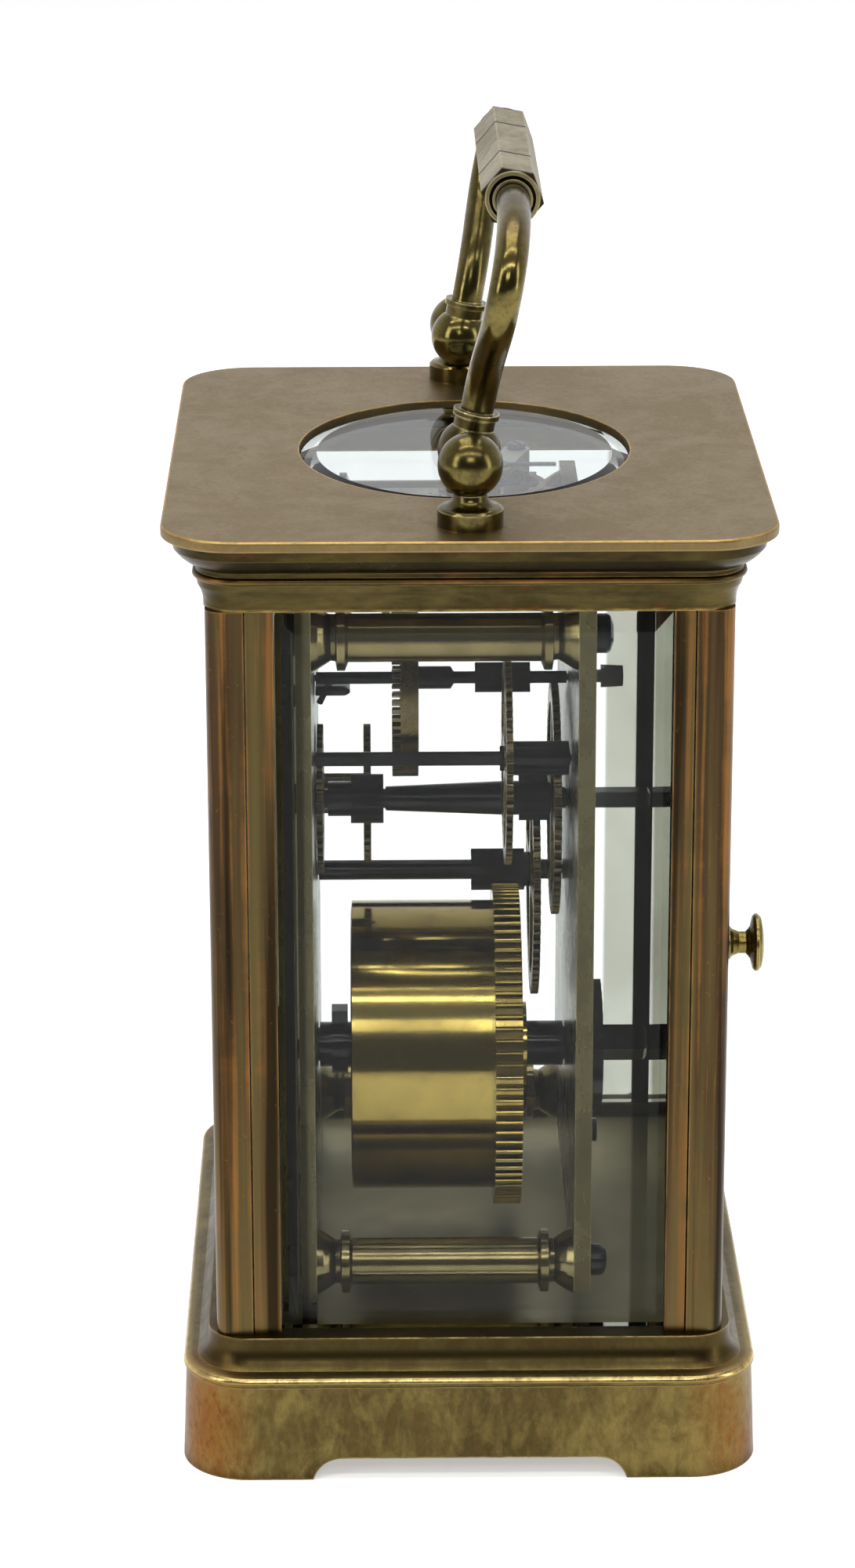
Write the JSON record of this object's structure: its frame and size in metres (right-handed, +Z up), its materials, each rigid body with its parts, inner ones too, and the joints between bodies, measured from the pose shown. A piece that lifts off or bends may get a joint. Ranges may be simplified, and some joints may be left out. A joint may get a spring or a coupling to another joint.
{
  "type": "carriage clock",
  "caption": "Brass four-glass carriage clock with a swinging carrying handle, a hinged back door and its gear train in view.",
  "frame": {"origin": "centre of the footprint, on the floor", "axes": "+Z up, -Y the dial side, +Y the door side, +X the clock's right side as seen from the dial"},
  "size_m": [0.084, 0.07, 0.1536],
  "materials": {
    "case_brass": "aged, lightly polished",
    "top_brass": "aged, satin",
    "cornice_brass": "aged, dark in the hollows",
    "post_brass": "aged, polished",
    "handle_brass": "aged, polished",
    "grip_brass": "worn satin",
    "plate_brass": "brushed",
    "wheel_brass": "polished",
    "barrel_brass": "polished",
    "dark_steel": "dark polished steel",
    "blued_steel": "blued steel",
    "silvered": "silvered, satin",
    "glass": "clear, bevelled",
    "enamel": "white enamel, gloss"
  },
  "bodies": {
    "case": {"base_plinth": "case_brass", "front_right_post": "post_brass", "front_left_post": "post_brass", "back_right_post": "post_brass", "back_left_post": "post_brass", "cornice": "cornice_brass", "top_plate": "top_brass", "top_glass": "glass", "right_side_glass": "glass", "left_side_glass": "glass", "front_glass": "glass", "glass_strips": "post_brass", "base_screws": "dark_steel", "door_hinge_pins": "post_brass", "right_handle_post": "handle_brass", "left_handle_post": "handle_brass", "handle_pivot_pins": "dark_steel", "front_plate": "plate_brass", "back_plate": "plate_brass", "plate_pillars": "plate_brass", "pillar_screws": "dark_steel", "dial_posts": "plate_brass", "dial_mask": "plate_brass", "dial": "enamel", "click_spring": "dark_steel", "click_screws": "dark_steel", "escapement_platform": "silvered", "lever_cock": "silvered", "balance_cock": "silvered", "platform_screws": "blued_steel"},
    "door": {"door_frame": "post_brass", "door_glass": "glass", "door_knob": "case_brass"},
    "handle": {"right_handle_arm": "handle_brass", "left_handle_arm": "handle_brass", "handle_grip": "grip_brass"},
    "barrel": {"mainspring_barrel": "barrel_brass", "barrel_cap": "barrel_brass", "mainspring": "blued_steel"},
    "winding_arbor": {"barrel_arbor": "dark_steel", "ratchet_wheel": "dark_steel"},
    "click": {"click": "dark_steel"},
    "intermediate": {"intermediate_arbor": "dark_steel", "intermediate_wheel": "wheel_brass"},
    "centre": {"centre_arbor": "dark_steel", "centre_wheel": "wheel_brass", "cannon_pinion": "dark_steel", "minute_hand": "blued_steel"},
    "minute_work": {"minute_wheel": "wheel_brass"},
    "hour_work": {"hour_wheel": "wheel_brass", "hour_hand": "blued_steel"},
    "third": {"third_arbor": "dark_steel", "third_wheel": "wheel_brass"},
    "contrate": {"contrate_arbor": "dark_steel", "contrate_wheel": "wheel_brass"},
    "escape": {"escape_wheel": "silvered"},
    "lever": {"pallet_lever": "silvered"},
    "balance": {"balance_wheel": "wheel_brass", "hairspring": "blued_steel"},
    "index": {"regulator_index": "blued_steel"}
  },
  "joints": [
    {"name": "handle_swing", "type": "hinge", "parent": "case", "child": "handle", "pos_m": [0, 0, 0.123], "axis": [1, 0, 0], "range_deg": [-78, 98]},
    {"name": "door_hinge", "type": "hinge", "parent": "case", "child": "door", "pos_m": [-0.0316, 0.0291, 0.06], "axis": [0, 0, 1], "range_deg": [0, 100]},
    {"name": "centre_spin", "type": "hinge", "parent": "case", "child": "centre", "pos_m": [0, 0, 0.0718], "axis": [0, 1, 0], "continuous": true},
    {"name": "barrel_spin", "type": "hinge", "parent": "case", "child": "barrel", "pos_m": [-0.0019, 0, 0.0387], "axis": [0, 1, 0], "continuous": true},
    {"name": "intermediate_spin", "type": "hinge", "parent": "case", "child": "intermediate", "pos_m": [-0.01177, 0, 0.05831], "axis": [0, 1, 0], "continuous": true},
    {"name": "minute_wheel_spin", "type": "hinge", "parent": "case", "child": "minute_work", "pos_m": [-0.01061, -0.014, 0.06892], "axis": [0, 1, 0], "continuous": true},
    {"name": "hour_wheel_spin", "type": "hinge", "parent": "case", "child": "hour_work", "pos_m": [0, -0.02, 0.0718], "axis": [0, 1, 0], "continuous": true},
    {"name": "third_spin", "type": "hinge", "parent": "case", "child": "third", "pos_m": [0.01261, 0, 0.08106], "axis": [0, 1, 0], "continuous": true},
    {"name": "contrate_spin", "type": "hinge", "parent": "case", "child": "contrate", "pos_m": [0, 0, 0.0873], "axis": [0, 1, 0], "continuous": true},
    {"name": "escape_spin", "type": "hinge", "parent": "case", "child": "escape", "pos_m": [0, -0.00949, 0.105], "axis": [0, 0, 1], "continuous": true},
    {"name": "winding", "type": "hinge", "parent": "case", "child": "winding_arbor", "pos_m": [-0.0019, 0.015, 0.0387], "axis": [0, 1, 0], "continuous": true},
    {"name": "click_lift", "type": "hinge", "parent": "case", "child": "click", "pos_m": [-0.0115, 0.0158, 0.0319], "axis": [0, 1, 0], "range_deg": [-14, 0]},
    {"name": "lever_rock", "type": "hinge", "parent": "case", "child": "lever", "pos_m": [0, -0.00409, 0.108], "axis": [0, 0, 1], "range_deg": [-5, 5]},
    {"name": "balance_swing", "type": "hinge", "parent": "case", "child": "balance", "pos_m": [0, 0.0035, 0.108], "axis": [0, 0, 1], "range_deg": [-135, 135], "stiffness_Nm_per_rad": 0.0000026, "deforming": ["hairspring"]},
    {"name": "regulator_turn", "type": "hinge", "parent": "case", "child": "index", "pos_m": [0, 0.0035, 0.1122], "axis": [0, 0, 1], "range_deg": [-20, 20]}
  ],
  "couplings": [
    {"joint": "intermediate_spin", "follows": "centre_spin", "ratio": -0.16667},
    {"joint": "barrel_spin", "follows": "centre_spin", "ratio": 0.019841},
    {"joint": "minute_wheel_spin", "follows": "centre_spin", "ratio": -0.33333},
    {"joint": "hour_wheel_spin", "follows": "centre_spin", "ratio": 0.083333},
    {"joint": "third_spin", "follows": "centre_spin", "ratio": -8},
    {"joint": "contrate_spin", "follows": "centre_spin", "ratio": 60},
    {"joint": "escape_spin", "follows": "centre_spin", "ratio": -600}
  ]
}
